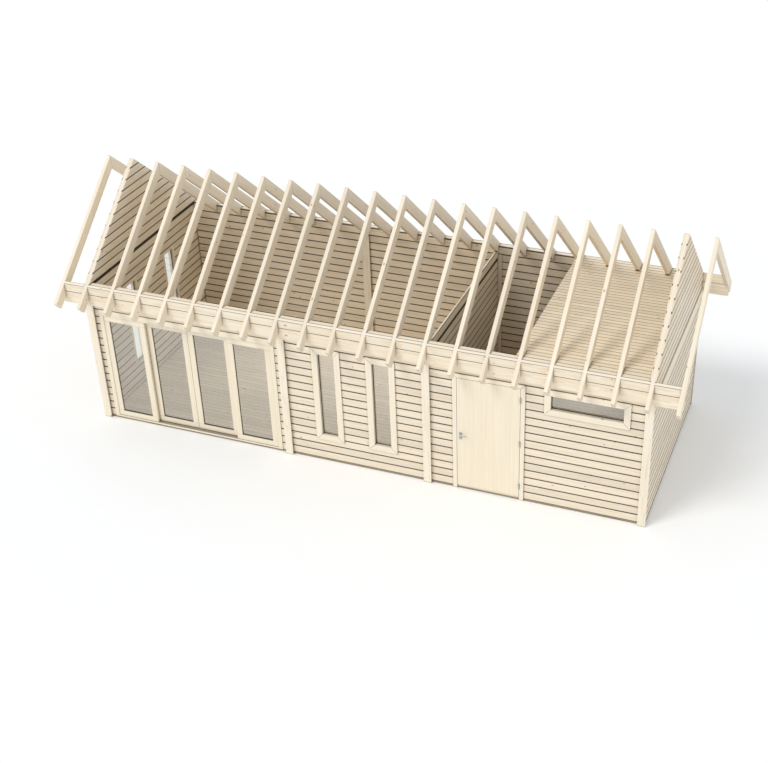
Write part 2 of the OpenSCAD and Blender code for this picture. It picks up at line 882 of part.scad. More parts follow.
// lever handle on both faces, with roses and lock cylinder
module door_handle() {
    color(steel) for (face = [0, 1])
        translate([door_x0 + leaf_gap + backset, face == 0 ? leaf_y : leaf_y + leaf_t, handle_z])
            rotate([face == 0 ? 90 : -90, 0, 0]) {
                cylinder(r = rose_r, h = rose_t);
                cylinder(r = lever_w / 2, h = lever_out - lever_t / 2);
                translate([-lever_w / 2, -lever_w / 2, lever_out - lever_t])
                    cube([lever_l, lever_w, lever_t]);
                translate([0, face == 0 ? -lock_drop : lock_drop, 0]) cylinder(r = rose_r, h = rose_t);
            }
}

base_frame();
floor_joists();
floor_deck();
front_wall_left();
front_wall_middle();
front_wall_right();
front_wall_head();
back_wall();
left_end_wall();
right_end_wall();
partition_wall();
cross_wall_stubs();
left_gable();
right_gable();
outer_cover_boards();
inner_cover_boards();
belt_boards();
eave_beams();
eave_blocks();
front_rafters();
back_rafters();
end_rafters();
loft_joists();
loft_deck();
slider_frame();
slider_rails();
fixed_panels();
fixed_panel_glass();
left_sliding_panel();
left_sliding_glass();
right_sliding_panel();
right_sliding_glass();
window_frames();
window_casings();
window_glass();
door_frame();
door_casing();
frame_hinges();
door_leaf();
door_handle();
leaf_hinges();
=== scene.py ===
"""Looks of a long log cabin: planed spruce logs, open rafter roof, boarded floors, glass and steel.

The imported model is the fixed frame. This script dresses its pieces with procedural finishes and
adds the boards, seals, screws and handles that the plain solids leave out. Lengths are metres.
"""

from __future__ import annotations

import logging
import math
from dataclasses import dataclass
from enum import Enum
from typing import Callable, Iterable, Sequence

import bpy
from mathutils import Matrix, Vector

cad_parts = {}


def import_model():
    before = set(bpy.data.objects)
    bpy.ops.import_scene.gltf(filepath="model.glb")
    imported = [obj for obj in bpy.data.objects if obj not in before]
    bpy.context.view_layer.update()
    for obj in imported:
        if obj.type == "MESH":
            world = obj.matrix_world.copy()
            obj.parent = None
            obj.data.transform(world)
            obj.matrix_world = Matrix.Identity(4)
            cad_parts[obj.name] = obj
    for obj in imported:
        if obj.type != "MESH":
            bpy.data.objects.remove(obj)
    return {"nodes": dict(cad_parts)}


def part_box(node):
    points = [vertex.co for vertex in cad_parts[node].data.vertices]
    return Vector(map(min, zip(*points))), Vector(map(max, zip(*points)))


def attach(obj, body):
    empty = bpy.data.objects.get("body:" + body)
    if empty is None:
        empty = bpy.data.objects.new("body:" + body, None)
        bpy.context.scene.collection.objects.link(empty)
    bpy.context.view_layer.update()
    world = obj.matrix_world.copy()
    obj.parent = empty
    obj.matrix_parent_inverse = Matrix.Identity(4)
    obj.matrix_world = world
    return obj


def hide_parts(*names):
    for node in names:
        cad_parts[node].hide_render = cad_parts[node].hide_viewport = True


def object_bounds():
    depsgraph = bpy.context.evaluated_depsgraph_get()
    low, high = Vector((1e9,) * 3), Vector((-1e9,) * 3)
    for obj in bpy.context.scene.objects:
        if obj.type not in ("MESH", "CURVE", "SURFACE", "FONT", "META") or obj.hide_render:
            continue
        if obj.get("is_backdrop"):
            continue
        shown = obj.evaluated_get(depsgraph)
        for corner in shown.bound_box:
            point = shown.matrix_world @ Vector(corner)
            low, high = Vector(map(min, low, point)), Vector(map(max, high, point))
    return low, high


LOG = logging.getLogger("cabin")
MM = 0.001
FAR = 9.0  # past the cabin on every side
NEVER = 1000.0  # a number or level that nothing reaches
UP = (0.0, 0.0, 1.0)
FRONT = (0.0, -1.0, 0.0)
ACROSS = (0.0, 1.0, 1.0)  # keeps what lies across the grain
SQUARE_ON = 0.99  # cosine past which a face looks straight one way
CORE = 0.25  # share of a joint line's width that is evenly dark

Material = bpy.types.Material
Outputs = bpy.types.NodeOutputs
Piece = bpy.types.Object
Socket = bpy.types.NodeSocket
Tree = bpy.types.NodeTree
Point = Sequence[float]
Triple = tuple[float, float, float]
Colour = tuple[float, float, float, float]
Rect = tuple[float, float, float, float]
Line = tuple[float, float]


# ---------------------------------------------------------------- colour and nodes


def linear(hex_colour: str) -> Colour:
    """Turn an sRGB hex colour into the linear RGBA that shaders take.

    Args:
        hex_colour: Six hex digits after a hash.

    Returns:
        Red, green, blue and an alpha of one.
    """
    parts = [int(hex_colour[i : i + 2], 16) / 255 for i in (1, 3, 5)]
    r, g, b = (c / 12.92 if c <= 0.04045 else ((c + 0.055) / 1.055) ** 2.4 for c in parts)
    return (r, g, b, 1.0)


def add_node(tree: Tree, kind: str, inputs: dict | Sequence = (), **settings: object) -> Outputs:
    """Add a shader node with its settings, socket values and incoming links.

    Args:
        tree: Node tree that gets the node.
        kind: Blender's name for the node, after "ShaderNode".
        inputs: A value or an incoming output for each socket, in order or by name or number.
        **settings: Attributes set on the node itself.

    Returns:
        The new node's outputs.
    """
    node = tree.nodes.new("ShaderNode" + kind)
    for key, value in settings.items():
        setattr(node, key, value)
    for key, value in inputs.items() if isinstance(inputs, dict) else enumerate(inputs):
        if isinstance(value, Socket):
            tree.links.new(value, node.inputs[key])
        else:
            node.inputs[key].default_value = value
    return node.outputs


def new_material(name: str) -> tuple[Material, Tree]:
    """Make a material with an empty node tree.

    Args:
        name: The finish's name.

    Returns:
        The material and its tree.
    """
    material = bpy.data.materials.new(name)
    material.use_nodes = True
    material.node_tree.nodes.clear()
    return material, material.node_tree


def shade_surface(tree: Tree, inputs: dict[str, object]) -> None:
    """Shade a material's surface; inputs are its shader's values and incoming outputs."""
    shader = add_node(tree, "BsdfPrincipled", inputs)
    add_node(tree, "OutputMaterial", {"Surface": shader[0]})


@dataclass(frozen=True)
class Surface:
    """What a finish is drawn from: its node tree, the point, its X, Y and Z, and the normal."""

    tree: Tree
    point: Socket
    axes: Outputs
    normal: Socket


# ---------------------------------------------------------------- finishes


class Grain(Enum):
    """Way the wood's grain runs; each value turns that way onto X, in degrees about X, Y and Z."""

    ALONG_X = (0.0, 0.0, 0.0)
    ALONG_Y = (0.0, 0.0, -90.0)
    ALONG_Z = (0.0, 90.0, 0.0)
    FRONT_SLOPE = (-40.0, 0.0, -90.0)
    BACK_SLOPE = (40.0, 0.0, -90.0)
    BOTH_SLOPES = (-40.0, 0.0, -90.001)  # a hair off FRONT_SLOPE, to be an option of its own

    def turned(self, axis: str) -> int:
        """Return which turned axis a piece's own axis becomes, 0 for along the grain."""
        order = {Grain.ALONG_X: "XYZ", Grain.ALONG_Z: "ZYX"}.get(self, "YXZ")
        return order.index(axis)


@dataclass(frozen=True)
class Split:
    """Even division of a node into logs or boards, for their own grain and tone.

    Past the level jump_at the division moves on by jump, as over an open settling joint.
    """

    axis: str
    origin: float
    step: float
    last: float = NEVER
    jump_at: float = NEVER
    jump: float = 0.0

    def place(self, at: Surface) -> tuple[Socket, Socket, Socket]:
        """Find a point's log or board.

        Args:
            at: The surface.

        Returns:
            The log's number, the place inside it and the distance to its joint.
        """
        tree, value = at.tree, at.axes[self.axis]
        if self.jump:
            past = add_node(tree, "Math", (value, self.jump_at), operation="GREATER_THAN")[0]
            value = add_node(tree, "Math", (past, -self.jump, value), operation="MULTIPLY_ADD")[0]
        run = add_node(tree, "Math", (value, self.origin), operation="SUBTRACT")[0]
        count = add_node(tree, "Math", (run, self.step), operation="DIVIDE")[0]
        whole = add_node(tree, "Math", (count,), operation="FLOOR")[0]
        number = add_node(tree, "Math", (whole, self.last), operation="MINIMUM")[0]
        rest = add_node(tree, "Math", (count, number), operation="SUBTRACT")[0]
        half = self.step / 2
        local = add_node(tree, "Math", (rest, self.step, -half), operation="MULTIPLY_ADD")[0]
        off = add_node(tree, "Math", (local,), operation="ABSOLUTE")[0]
        edge = add_node(tree, "Math", (off, half), operation="SUBTRACT")[0]
        return number, local, add_node(tree, "Math", (edge,), operation="ABSOLUTE")[0]


@dataclass(frozen=True)
class Seam:
    """One tight joint across a piece: a thin line of painted shade on faces that look one way, or
    on all.
    """

    axis: str
    place: float
    half: float
    dark: float
    facing: Triple | None = None
    mirrored: bool = False
    facing_over: float = 0.7  # cosine of the widest angle to the way it faces

    def distance(self, at: Surface) -> Socket:
        """Return how far a point lies from the joint, past it on faces that look another way.

        Args:
            at: The surface.

        Returns:
            The distance.
        """
        tree, value = at.tree, at.axes[self.axis]
        if self.mirrored:
            value = add_node(tree, "Math", (value,), operation="ABSOLUTE")[0]
        off = add_node(tree, "Math", (value, self.place), operation="SUBTRACT")[0]
        far = add_node(tree, "Math", (off,), operation="ABSOLUTE")[0]
        if self.facing is not None:
            look = add_node(tree, "VectorMath", (at.normal, self.facing),
                            operation="DOT_PRODUCT")["Value"]
            away = add_node(tree, "Math", (look, self.facing_over), operation="LESS_THAN")[0]
            far = add_node(tree, "Math", (far, away), operation="ADD")[0]
        return far


@dataclass(frozen=True)
class Mitre:
    """Mitred corners of the boards round an opening: a thin line of painted shade from each outer
    corner.
    """

    across: str
    low: tuple[float, float]
    high: tuple[float, float]
    foot: bool
    half: float = 5 * MM
    dark: float = 0.65

    def distance(self, at: Surface) -> Socket:
        """Return how far a point lies from the nearest mitre.

        Args:
            at: The surface.

        Returns:
            The distance.
        """
        tree, inward = at.tree, []
        for name, low, high in zip((self.across, "Z"), self.low, self.high):
            off = add_node(tree, "Math", (at.axes[name], (low + high) / 2), operation="SUBTRACT")[0]
            if name != "Z" or self.foot:
                off = add_node(tree, "Math", (off,), operation="ABSOLUTE")[0]
            inward.append(add_node(tree, "Math", ((high - low) / 2, off), operation="SUBTRACT")[0])
        apart = add_node(tree, "Math", inward, operation="SUBTRACT")[0]
        return add_node(tree, "Math", (apart,), operation="ABSOLUTE")[0]


@dataclass(frozen=True)
class PlanedSpruce:
    """Planed softwood: fine growth rings, pale early wood, amber late wood and small knots.

    The eye reads long straight figure along each piece, rings on its ends, a slightly different
    tone from log to log and a line of painted shade in the groove where two logs meet.
    """

    name: str = "planed_spruce"
    early: str = "#F4EAD7"
    late: str = "#D6B98F"
    knot: str = "#A0703F"
    roughness: float = 0.58
    tone: float = 0.12
    ring: float = 7 * MM  # real rings of 2 to 3 mm are drawn wider so that they show
    figure: float = 0.38
    streak: float = 0.42
    knots: float = 0.4  # share of the patches that have one
    joint_shade: float = 0.0
    joint_half: float = 13 * MM  # painted shade in the joint's groove or gap, drawn wider than the real one so that it shows
    crease: float = 35 * MM  # painted shade: the colour darkens this close to another piece, where contact shade falls
    crease_shade: float = 0.75
    crease_rays: int = 6
    random_shift: Triple = (37.0, 0.05, 0.05)  # gives each log its own stretch of wood
    level_over: float = 0.9  # cosine past which a face is level and shows no course joint
    fold_middle: float = -1.0  # middle of a slope once both slopes are folded into one
    wander: float = 30 * MM  # how far a ring strays from round
    wander_scale: Triple = (0.9, 9.0, 9.0)  # its bends are 1100 mm long and 110 mm wide
    late_edge: float = 2.5  # how sharply a ring darkens towards its late wood
    # Streaks are 1430 mm long and 38 mm wide; real ones of 5 to 20 mm wouldn't show.
    streak_scale: Triple = (0.7, 26.0, 26.0)
    streak_detail: float = 4.0
    streak_roughness: float = 0.6
    streak_range: tuple[float, float] = (0.3, 0.75)
    knot_patch: Triple = (500 * MM, 300 * MM, 1.0)  # one knot at most in each such patch
    knot_range: tuple[float, float] = (0.008, 0.055)  # its heart and its rim, in patches
    knot_shrink: tuple[float, float] = (2.4, 0.7)  # random and fixed parts
    knot_strength: float = 0.85
    end_over: tuple[float, float] = (0.75, 0.95)
    end_tone: float = 0.84
    bump: float = 0.25
    bump_depth: float = 0.8 * MM

    def material(
        self,
        label: str,
        grain: Grain,
        split: Split | None,
        centre: Point,
        seams: Sequence[Seam | Mitre] = (),
        rails: tuple[float, float] | None = None,
    ) -> Material:
        """Build this finish for one piece.

        Args:
            label: The piece's name.
            grain: Way the grain runs.
            split: How the piece divides into logs or boards, if it does.
            centre: Middle of the piece, where the first growth rings are centred.
            seams: Tight joints across the piece.
            rails: Levels below and above which its grain runs along X, as in rails.

        Returns:
            The node material.
        """
        material, tree = new_material(f"{self.name}_{label}")
        coords = add_node(tree, "TexCoord")
        axes = add_node(tree, "SeparateXYZ", (coords["Object"],))
        at = Surface(tree, coords["Object"], axes, coords["Normal"])
        part, near = 0.0, None
        if split is not None:
            part, local, near = split.place(at)
        dice = add_node(tree, "TexWhiteNoise", {"W": part}, noise_dimensions="1D")
        shift = add_node(tree, "VectorMath", (dice["Color"], self.random_shift),
                         operation="MULTIPLY")[0]
        rotation = tuple(math.radians(a) for a in grain.value)
        run = self._along_grain(at, grain, rotation, centre, rails)
        offset = add_node(tree, "SeparateXYZ", (shift,))
        spot = [add_node(tree, "Math", (run[0], offset[0]), operation="ADD")[0], run[1], run[2]]
        if split is not None and grain.turned(split.axis):
            spot[grain.turned(split.axis)] = local
        wood, relief = self._wood(tree, spot, shift, part)
        shade = add_node(tree, "Math", (dice["Value"], self.tone, 1 - self.tone / 2),
                         operation="MULTIPLY_ADD")[0]
        dimming = [self._end_grain(at, rotation)]
        # Painted shade: the colour darkens along each V-groove and board gap, where shade falls.
        if near is not None and self.joint_shade:
            way = add_node(tree, "SeparateXYZ", (at.normal,))[split.axis]
            level = add_node(tree, "Math", (way, self.level_over), operation="GREATER_THAN")[0]
            far = add_node(tree, "Math", (near, level), operation="ADD")[0]
            dimming.append(self._line(tree, far, self.joint_half, self.joint_shade))
        # Painted shade: a thin dark line along each tight joint and mitre.
        for seam in seams:
            dimming.append(self._line(tree, seam.distance(at), seam.half, seam.dark))
        # Painted shade: ambient occlusion darkens the colour in creases and where pieces touch.
        open_sky = add_node(tree, "AmbientOcclusion", {"Distance": self.crease},
                            samples=self.crease_rays)["AO"]
        contact = {"Value": open_sky, "To Min": 1 - self.crease_shade}
        dimming.append(add_node(tree, "MapRange", contact)[0])
        for factor in dimming:
            shade = add_node(tree, "Math", (shade, factor), operation="MULTIPLY")[0]
        colour = add_node(tree, "VectorMath", {0: wood, "Scale": shade}, operation="SCALE")[0]
        bump = add_node(tree, "Bump", {
            "Strength": self.bump, "Distance": self.bump_depth, "Height": relief})
        shade_surface(tree, {"Base Color": colour, "Roughness": self.roughness, "Normal": bump[0]})
        return material

    def _along_grain(
        self, at: Surface, grain: Grain, rotation: Triple, centre: Point,
        rails: tuple[float, float] | None,
    ) -> Outputs:
        """Return a point's place in the wood, its grain along X.

        Args:
            at: The surface.
            grain: Way the grain runs.
            rotation: Turn that brings the grain onto X.
            centre: Middle of the piece.
            rails: Levels below and above which the grain runs along X.

        Returns:
            The place along, across and through the wood.
        """
        tree, point, axes, middle = at.tree, at.point, at.axes, list(centre)
        if grain is Grain.BOTH_SLOPES:
            out = add_node(tree, "Math", (axes["Y"],), operation="ABSOLUTE")[0]
            front = add_node(tree, "Math", (out, -1.0), operation="MULTIPLY")[0]
            point = add_node(tree, "CombineXYZ", (axes["X"], front, axes["Z"]))[0]
            middle[1] = self.fold_middle
        moved = add_node(tree, "VectorMath", (point, middle), operation="SUBTRACT")[0]
        turned = add_node(tree, "Mapping", {"Vector": moved, "Rotation": rotation})[0]
        if rails is not None:
            below = add_node(tree, "Math", (axes["Z"], rails[0]), operation="LESS_THAN")[0]
            above = add_node(tree, "Math", (axes["Z"], rails[1]), operation="GREATER_THAN")[0]
            in_rail = add_node(tree, "Math", (below, above), operation="ADD")[0]
            turned = add_node(tree, "Mix", {0: in_rail, 4: turned, 5: moved}, data_type="VECTOR")[1]
        return add_node(tree, "SeparateXYZ", (turned,))

    def _wood(
        self, tree: Tree, spot: Sequence[Socket], shift: Socket, part: Socket | float
    ) -> tuple[Socket, Socket]:
        """Draw rings, streaks and knots.

        Args:
            tree: Node tree that gets the nodes.
            spot: The place along, across and through the wood.
            shift: Random shift of this log's pith.
            part: Number of the log or board.

        Returns:
            The wood's colour and its relief.
        """
        point = add_node(tree, "CombineXYZ", spot)[0]
        rings, streak = self._rings(tree, point, shift), self._streaks(tree, point, part)
        ringed = add_node(tree, "Math", (rings, self.figure), operation="MULTIPLY")[0]
        figure = add_node(tree, "Math", (streak, self.streak, ringed), operation="MULTIPLY_ADD")[0]
        layers = [(figure, self.late)]
        if self.knots:
            layers.append((self._knots(tree, spot), self.knot))
        wood = linear(self.early)
        for share, over in layers:  # a Mix node's sockets share names, so they go by number
            wood = add_node(tree, "Mix", {0: share, 6: wood, 7: linear(over)}, data_type="RGBA")[2]
        both = add_node(tree, "Math", (rings, streak), operation="ADD")[0]
        return wood, add_node(tree, "Math", (both, 0.5), operation="MULTIPLY")[0]

    @staticmethod
    def _line(tree: Tree, distance: Socket, half: float, dark: float) -> Socket:
        """Return a factor that darkens a line of this half width, evenly dark in its middle."""
        ends = {"Value": distance, "From Min": half * CORE, "From Max": half, "To Min": 1 - dark}
        return add_node(tree, "MapRange", ends, interpolation_type="SMOOTHSTEP")[0]

    def _rings(self, tree: Tree, spot: Socket, shift: Socket) -> Socket:
        """Return growth rings round a wandering pith, dark at each late wood edge.

        Args:
            tree: Node tree that gets the nodes.
            spot: The point, its grain along X.
            shift: Random shift of this log's pith.

        Returns:
            Zero to one, from early to late wood.
        """
        out = add_node(tree, "VectorMath", (spot, shift), operation="SUBTRACT")[0]
        flat = add_node(tree, "VectorMath", (out, ACROSS), operation="MULTIPLY")[0]
        radius = add_node(tree, "VectorMath", (flat,), operation="LENGTH")["Value"]
        scaled = add_node(tree, "VectorMath", (spot, self.wander_scale), operation="MULTIPLY")[0]
        noise = add_node(tree, "TexNoise", {"Vector": scaled, "Scale": 1.0})[0]
        bent = add_node(tree, "Math", (noise, self.wander, radius), operation="MULTIPLY_ADD")[0]
        count = add_node(tree, "Math", (bent, self.ring), operation="DIVIDE")[0]
        phase = add_node(tree, "Math", (count,), operation="FRACT")[0]
        return add_node(tree, "Math", (phase, self.late_edge), operation="POWER")[0]

    def _streaks(self, tree: Tree, spot: Socket, part: Socket | float) -> Socket:
        """Return broad streaks that run along the grain.

        Args:
            tree: Node tree that gets the nodes.
            spot: The point, its grain along X.
            part: Number of the log or board.

        Returns:
            Zero to one, from pale to dark.
        """
        scaled = add_node(tree, "VectorMath", (spot, self.streak_scale), operation="MULTIPLY")[0]
        noise = add_node(tree, "TexNoise", {
            "Vector": scaled, "W": part, "Scale": 1.0, "Detail": self.streak_detail,
            "Roughness": self.streak_roughness}, noise_dimensions="4D")[0]
        low, high = self.streak_range
        return add_node(tree, "MapRange", {"Value": noise, "From Min": low, "From Max": high})[0]

    def _knots(self, tree: Tree, spot: Sequence[Socket]) -> Socket:
        """Return sparse oval knots, 15 to 45 mm long, dark at the heart.

        Args:
            tree: Node tree that gets the nodes.
            spot: The place along, across and through the wood.

        Returns:
            Zero for clear wood to one at a knot's heart.
        """
        sideways = add_node(tree, "Math", spot[1:], operation="ADD")[0]
        flat = add_node(tree, "CombineXYZ", (spot[0], sideways))[0]
        patch = add_node(tree, "VectorMath", (flat, self.knot_patch), operation="DIVIDE")[0]
        cells = add_node(tree, "TexVoronoi", {"Vector": patch, "Scale": 1.0},
                         voronoi_dimensions="2D")
        mark = add_node(tree, "TexWhiteNoise", {"Vector": cells["Color"]})["Value"]
        shrink = add_node(tree, "Math", (mark, *self.knot_shrink), operation="MULTIPLY_ADD")[0]
        reach = add_node(tree, "Math", (cells["Distance"], shrink), operation="MULTIPLY")[0]
        heart, rim = self.knot_range
        oval = add_node(tree, "MapRange", {
            "Value": reach, "From Min": heart, "From Max": rim, "To Min": self.knot_strength,
            "To Max": 0.0}, interpolation_type="SMOOTHSTEP")[0]
        chosen = add_node(tree, "Math", (mark, self.knots), operation="LESS_THAN")[0]
        return add_node(tree, "Math", (oval, chosen), operation="MULTIPLY")[0]

    def _end_grain(self, at: Surface, rotation: Triple) -> Socket:
        """Return a factor that darkens the sawn ends, which drink more light.

        Args:
            at: The surface.
            rotation: Turn that brings the grain onto X.

        Returns:
            The factor.
        """
        tree = at.tree
        turned = add_node(tree, "Mapping", {"Vector": at.normal, "Rotation": rotation},
                          vector_type="VECTOR")[0]
        way = add_node(tree, "SeparateXYZ", (turned,))[0]
        end_on = add_node(tree, "Math", (way,), operation="ABSOLUTE")[0]
        side, end = self.end_over
        return add_node(tree, "MapRange", {
            "Value": end_on, "From Min": side, "From Max": end, "To Min": 1.0,
            "To Max": self.end_tone})[0]


@dataclass(frozen=True)
class FloatGlass:
    """Coated clear float glass: smooth and see-through, with a bright reflection of the sky."""

    name: str = "float_glass"
    tint: str = "#FAFCFB"
    ior: float = 2.1  # above plain glass, for the coating
    specular: float = 0.8

    def material(self) -> Material:
        """Build the clear glass.

        Returns:
            The node material.
        """
        material, tree = new_material(self.name)
        shade_surface(tree, {
            "Base Color": linear(self.tint), "Roughness": 0.0, "IOR": self.ior,
            "Specular IOR Level": self.specular, "Transmission Weight": 1.0})
        return material


@dataclass(frozen=True)
class SealRubber:
    """Extruded sealing rubber or felt: dark, dull and slightly mottled."""

    name: str = "seal_rubber"
    colour: str = "#2F2F2E"
    roughness: float = 0.7
    speck: float = 3 * MM
    detail: float = 3.0
    mottle: tuple[float, float] = (0.4, 0.8)  # random and fixed parts of its tone
    bump: float = 0.3
    bump_depth: float = 0.3 * MM

    def material(self) -> Material:
        """Build the dull dark seal.

        Returns:
            The node material.
        """
        material, tree = new_material(self.name)
        point = add_node(tree, "TexCoord")["Object"]
        noise = add_node(tree, "TexNoise", {
            "Vector": point, "Scale": 1 / self.speck, "Detail": self.detail})[0]
        shade = add_node(tree, "Math", (noise, *self.mottle), operation="MULTIPLY_ADD")[0]
        colour = add_node(tree, "VectorMath", {0: linear(self.colour)[:3], "Scale": shade},
                          operation="SCALE")[0]
        bump = add_node(tree, "Bump", {
            "Strength": self.bump, "Distance": self.bump_depth, "Height": noise})
        shade_surface(tree, {"Base Color": colour, "Roughness": self.roughness, "Normal": bump[0]})
        return material


@dataclass(frozen=True)
class SatinSteel:
    """Ground stainless steel: soft highlights broken by fine grinding marks."""

    name: str = "satin_steel"
    colour: str = "#B4B6B7"
    roughness: tuple[float, float] = (0.24, 0.42)
    mark: float = 1.2 * MM
    stretch: float = 40.0  # a grinding mark's length over its width

    def material(self) -> Material:
        """Build the ground steel.

        Returns:
            The node material.
        """
        material, tree = new_material(self.name)
        wide = 1 / self.mark
        marks = add_node(tree, "Mapping", {
            "Vector": add_node(tree, "TexCoord")["Object"],
            "Scale": (wide / self.stretch, wide, wide)})[0]
        noise = add_node(tree, "TexNoise", {"Vector": marks, "Scale": 1.0})[0]
        low, high = self.roughness
        rough = add_node(tree, "MapRange", {"Value": noise, "To Min": low, "To Max": high})[0]
        shade_surface(tree, {
            "Base Color": linear(self.colour), "Metallic": 1.0, "Roughness": rough})
        return material


# ---------------------------------------------------------------- mesh helpers


def only(obj: Piece) -> None:
    """Select one object alone and make it active.

    Args:
        obj: The object.
    """
    bpy.ops.object.select_all(action="DESELECT")
    obj.select_set(True)
    bpy.context.view_layer.objects.active = obj


def ease(piece: Piece, width: float, segments: int = 1) -> None:
    """Ease a piece's edges.

    Args:
        piece: The piece.
        width: Width of the eased edges.
        segments: Steps across each.
    """
    only(piece)
    bevel = piece.modifiers.new("ease", "BEVEL")
    bevel.width = width
    bevel.segments = segments
    bpy.ops.object.modifier_apply(modifier=bevel.name)


def settle(name: str) -> Piece:
    """Name the new primitive and move its place, turn and size into its mesh.

    Args:
        name: The object's name.

    Returns:
        The object.
    """
    bpy.ops.object.transform_apply(location=True, rotation=True, scale=True)
    bpy.context.object.name = name
    return bpy.context.object


def edit_faces(
    obj: Piece, wanted: Callable[[bpy.types.MeshPolygon], bool] = lambda face: True
) -> None:
    """Enter edit mode with only the wanted faces selected.

    Args:
        obj: The object, left in edit mode.
        wanted: True for each face to select.
    """
    only(obj)
    bpy.ops.object.mode_set(mode="EDIT")
    bpy.ops.mesh.select_mode(type="FACE")
    bpy.ops.mesh.select_all(action="DESELECT")
    bpy.ops.object.mode_set(mode="OBJECT")
    for face in obj.data.polygons:
        face.select = wanted(face)
    bpy.ops.object.mode_set(mode="EDIT")


def block(name: str, low: Point, high: Point, bevel: float = 0.0) -> Piece:
    """Make a bar between two corners, its edges eased.

    Args:
        name: The object's name.
        low: Lowest corner.
        high: Highest corner.
        bevel: Width of the eased edges, or none.

    Returns:
        The object, its place in its mesh.
    """
    centre = [(a + b) / 2 for a, b in zip(low, high)]
    size = [b - a for a, b in zip(low, high)]
    bpy.ops.object.select_all(action="DESELECT")
    bpy.ops.mesh.primitive_cube_add(size=1, location=centre, scale=size)
    obj = settle(name)
    if bevel:
        edit_faces(obj)
        bpy.ops.mesh.bevel(offset=bevel, segments=1, affect="EDGES")
        bpy.ops.object.mode_set(mode="OBJECT")
    return obj


def hollow_bar(name: str, low: Point, high: Point, axis: int, width: float, bevel: float) -> Piece:
    """Make a rectangular ring between two corners, open along one axis.

    Args:
        name: The object's name.
        low: Lowest corner.
        high: Highest corner.
        axis: Number of the axis that runs through the ring.
        width: Width of the ring's bars.
        bevel: Width of its eased edges.

    Returns:
        The object, its place in its mesh.
    """
    ring = block(name, low, high)
    edit_faces(ring, lambda face: abs(face.normal[axis]) > SQUARE_ON)
    bpy.ops.mesh.inset(thickness=width, depth=0, use_individual=True)
    bpy.ops.mesh.bridge_edge_loops()
    bpy.ops.mesh.select_all(action="SELECT")
    bpy.ops.mesh.normals_make_consistent(inside=False)
    bpy.ops.object.mode_set(mode="OBJECT")
    ease(ring, bevel)
    return ring


@dataclass
class Solid:
    """One separate solid of a CAD node: its corners and the numbers of its faces."""

    low: Vector
    high: Vector
    faces: list[int]

    def long_axis(self) -> int:
        """Return the number of its longest side's axis."""
        return max(range(3), key=lambda i: self.high[i] - self.low[i])


def solids_of(obj: Piece) -> list[Solid]:
    """Return the separate solids in a CAD node, left to right.

    Args:
        obj: The node's object.

    Returns:
        The solids.
    """
    mesh = obj.data
    spots = [tuple(round(c, 5) for c in v.co) for v in mesh.vertices]
    group = {spot: {spot} for spot in spots}
    for edge in mesh.edges:
        a, b = (group[spots[i]] for i in edge.vertices)
        if a is not b:
            a |= b
            group.update((spot, a) for spot in b)
    faces: dict[int, list[int]] = {}
    for face in mesh.polygons:
        faces.setdefault(id(group[spots[face.vertices[0]]]), []).append(face.index)
    made = []
    for spots_in in {id(g): g for g in group.values()}.values():
        low, high = (Vector(map(pick, zip(*spots_in))) for pick in (min, max))
        made.append(Solid(low, high, faces[id(spots_in)]))
    return sorted(made, key=lambda solid: tuple(solid.low))


def rings_of(boards: Iterable[Solid], reach: float = 4 * MM) -> list[list[Solid]]:
    """Group boards that meet at their ends.

    Args:
        boards: The boards.
        reach: Widest gap between boards that meet.

    Returns:
        The boards round each opening.
    """
    rings: list[list[Solid]] = []
    for board in boards:
        met = [ring for ring in rings if any(all(
            a.low[i] - reach < board.high[i] and board.low[i] - reach < a.high[i] for i in range(3))
            for a in ring)]
        rings = [ring for ring in rings if ring not in met]
        rings.append([board, *(other for ring in met for other in ring)])
    return rings


def disc(name: str, radius: float, depth: float, sides: int, bevel: float) -> Piece:
    """Make a round boss at the origin that faces along Y, its rim eased.

    Args:
        name: The object's name.
        radius: Its radius.
        depth: Its length along Y.
        sides: Number of sides.
        bevel: Width of the eased rim.

    Returns:
        The boss.
    """
    bpy.ops.object.select_all(action="DESELECT")
    bpy.ops.mesh.primitive_cylinder_add(
        vertices=sides, radius=radius, depth=depth, rotation=(math.pi / 2, 0, 0))
    boss = settle(name)
    ease(boss, bevel, 2)
    return boss


def copies(model: Piece, moves: Iterable[Point]) -> list[Piece]:
    """Copy a model to several places, each with its own mesh, and drop the model.

    Args:
        model: The object to copy.
        moves: How far each copy is moved.

    Returns:
        The copies.
    """
    made = []
    for move in moves:
        twin = model.copy()
        twin.data = model.data.copy()
        bpy.context.scene.collection.objects.link(twin)
        twin.data.transform(Matrix.Translation(move))
        made.append(twin)
    bpy.data.objects.remove(model)
    return made


def dress(obj: Piece, material: Material) -> None:
    """Give an object one material."""
    obj.data.materials.clear()
    obj.data.materials.append(material)


def centre_of(node: str) -> Vector:
    """Return the middle of a CAD node."""
    low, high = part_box(node)
    return (low + high) / 2


def finish_piece(
    name: str, parts: Sequence[Piece], body: str, slot: str, material: Material, *nodes: str
) -> Piece:
    """Join parts into one new piece, dress it, tie it to its body and hide the CAD nodes it stands
    in for.

    Args:
        name: Name of the piece.
        parts: The objects that make it up.
        body: Body it moves with.
        slot: Not used.
        material: Its finish.
        *nodes: CAD nodes it is shown instead of.

    Returns:
        The piece.
    """
    only(parts[0])
    for part in parts:
        part.select_set(True)
    bpy.ops.object.join()
    piece = parts[0]
    piece.name = piece.data.name = name
    dress(piece, material)
    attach(piece, body)
    if nodes:
        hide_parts(*nodes)
    LOG.info("%s: %d faces on %s", name, len(piece.data.polygons), body)
    return piece


# ---------------------------------------------------------------- sub-assemblies


